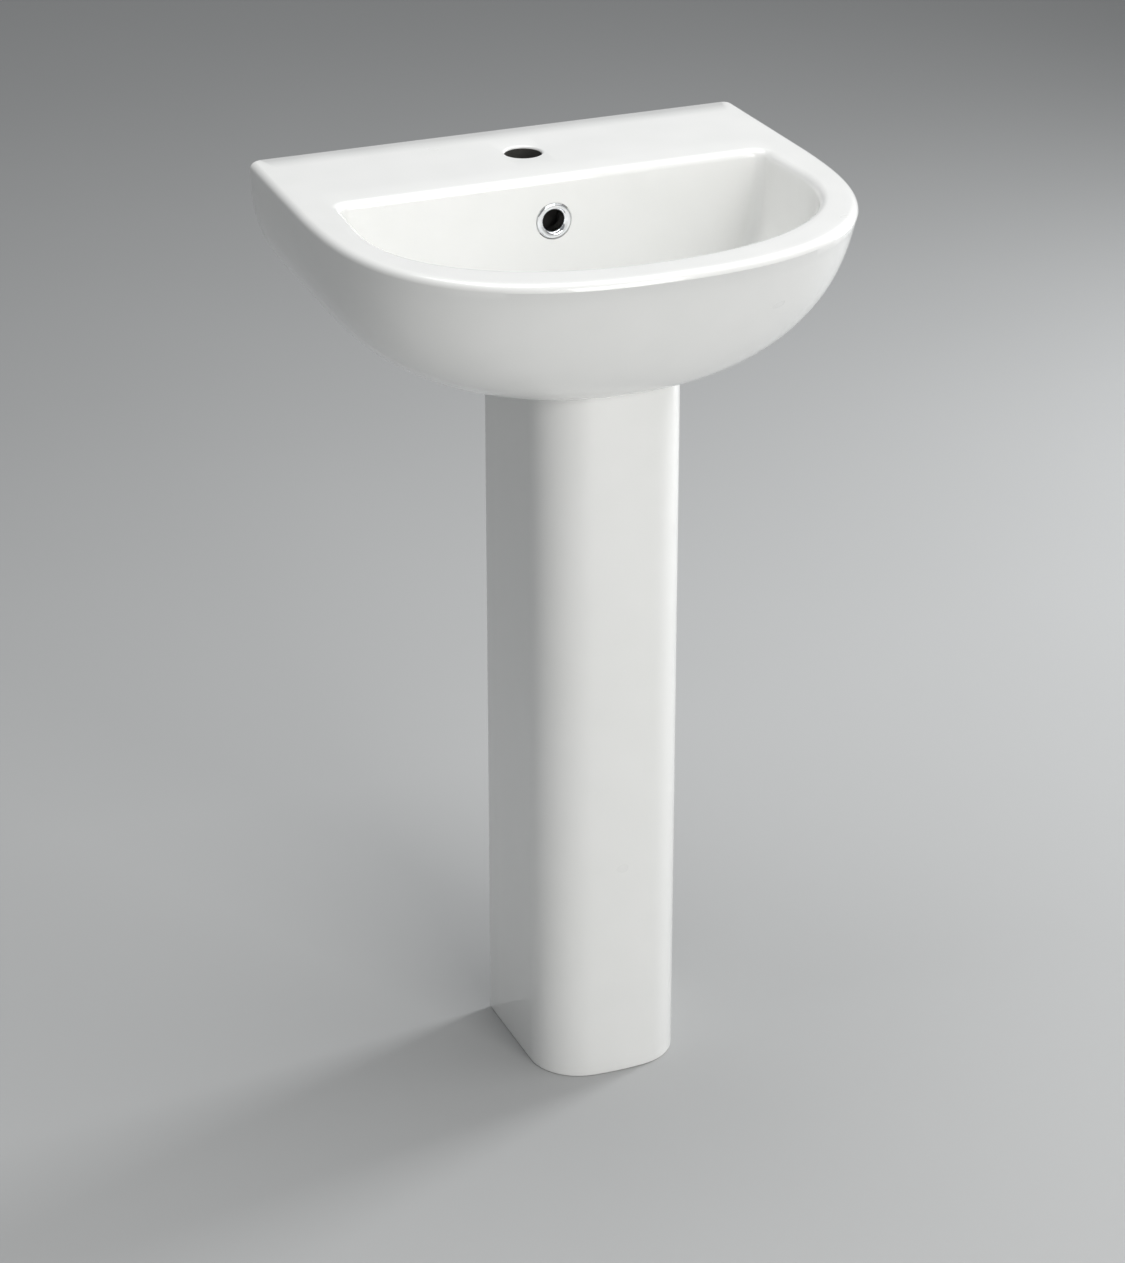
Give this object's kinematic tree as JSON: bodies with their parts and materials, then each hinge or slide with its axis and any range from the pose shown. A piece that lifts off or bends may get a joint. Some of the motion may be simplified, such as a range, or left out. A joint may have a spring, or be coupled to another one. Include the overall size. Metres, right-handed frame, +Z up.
{
  "type": "pedestal sink",
  "caption": "D-shaped ceramic washbasin with a tap deck and overflow on a full-height pedestal, with push-button waste, bottle trap and wall fixings.",
  "frame": {"origin": "on the floor, at the middle of the footprint of everything in the part; the wall's face is the plane y = +0.1835 m", "axes": "+Z up, +Y towards the wall, -Y towards the user, +X to the user's right"},
  "size_m": [0.5, 0.487, 0.86],
  "materials": {
    "ceramic": "white glaze, glossy",
    "chrome": "polished chrome plate on brass",
    "brass": "turned brass, unplated",
    "seal_white": "matt white rubber strip",
    "rubber": "matt moulded rubber",
    "plastic": "white moulded polypropylene, satin",
    "nylon": "grey moulded nylon",
    "steel": "bright zinc-plated steel"
  },
  "bodies": {
    "sink": {"basin": "ceramic", "pedestal": "ceramic", "pedestal_seal": "seal_white", "overflow_ring": "chrome", "waste_body": "chrome", "waste_top_seal": "rubber", "waste_bottom_seal": "rubber", "waste_backnut": "brass", "plug_cartridge": "plastic", "plug_spring": "steel", "trap_inlet_nut": "plastic", "trap_inlet_seal": "rubber", "trap_inlet_tube": "plastic", "trap_top_nut": "plastic", "trap_top_seal": "rubber", "trap_body": "plastic", "trap_outlet_nut": "plastic", "trap_outlet_seal": "rubber", "waste_pipe": "plastic", "wall_plugs": "nylon", "wall_studs": "steel", "stud_bushes": "nylon", "stud_washers": "steel", "stud_nuts": "steel"},
    "plug": {"plug_cap": "chrome", "plug_seal": "rubber", "plug_stem": "brass"},
    "cup_seal": {"trap_cup_seal": "rubber"},
    "cup": {"trap_cup": "plastic"}
  },
  "joints": [
    {"name": "plug_lift", "type": "slide", "parent": "sink", "child": "plug", "axis": [0, 0, 1], "range_m": [0, 0.008], "deforming": ["plug_spring"]},
    {"name": "cup_drop", "type": "slide", "parent": "sink", "child": "cup_seal", "axis": [0, 0, -1], "range_m": [0, 0.012]},
    {"name": "cup_unscrew", "type": "hinge", "parent": "cup_seal", "child": "cup", "pos_m": [0, -0.0515, 0.5], "axis": [0, 0, -1], "range_deg": [0, 1080]}
  ],
  "couplings": [
    {"joint": "cup_drop", "follows": "cup_unscrew", "m_per_rad": 0.00063662}
  ]
}
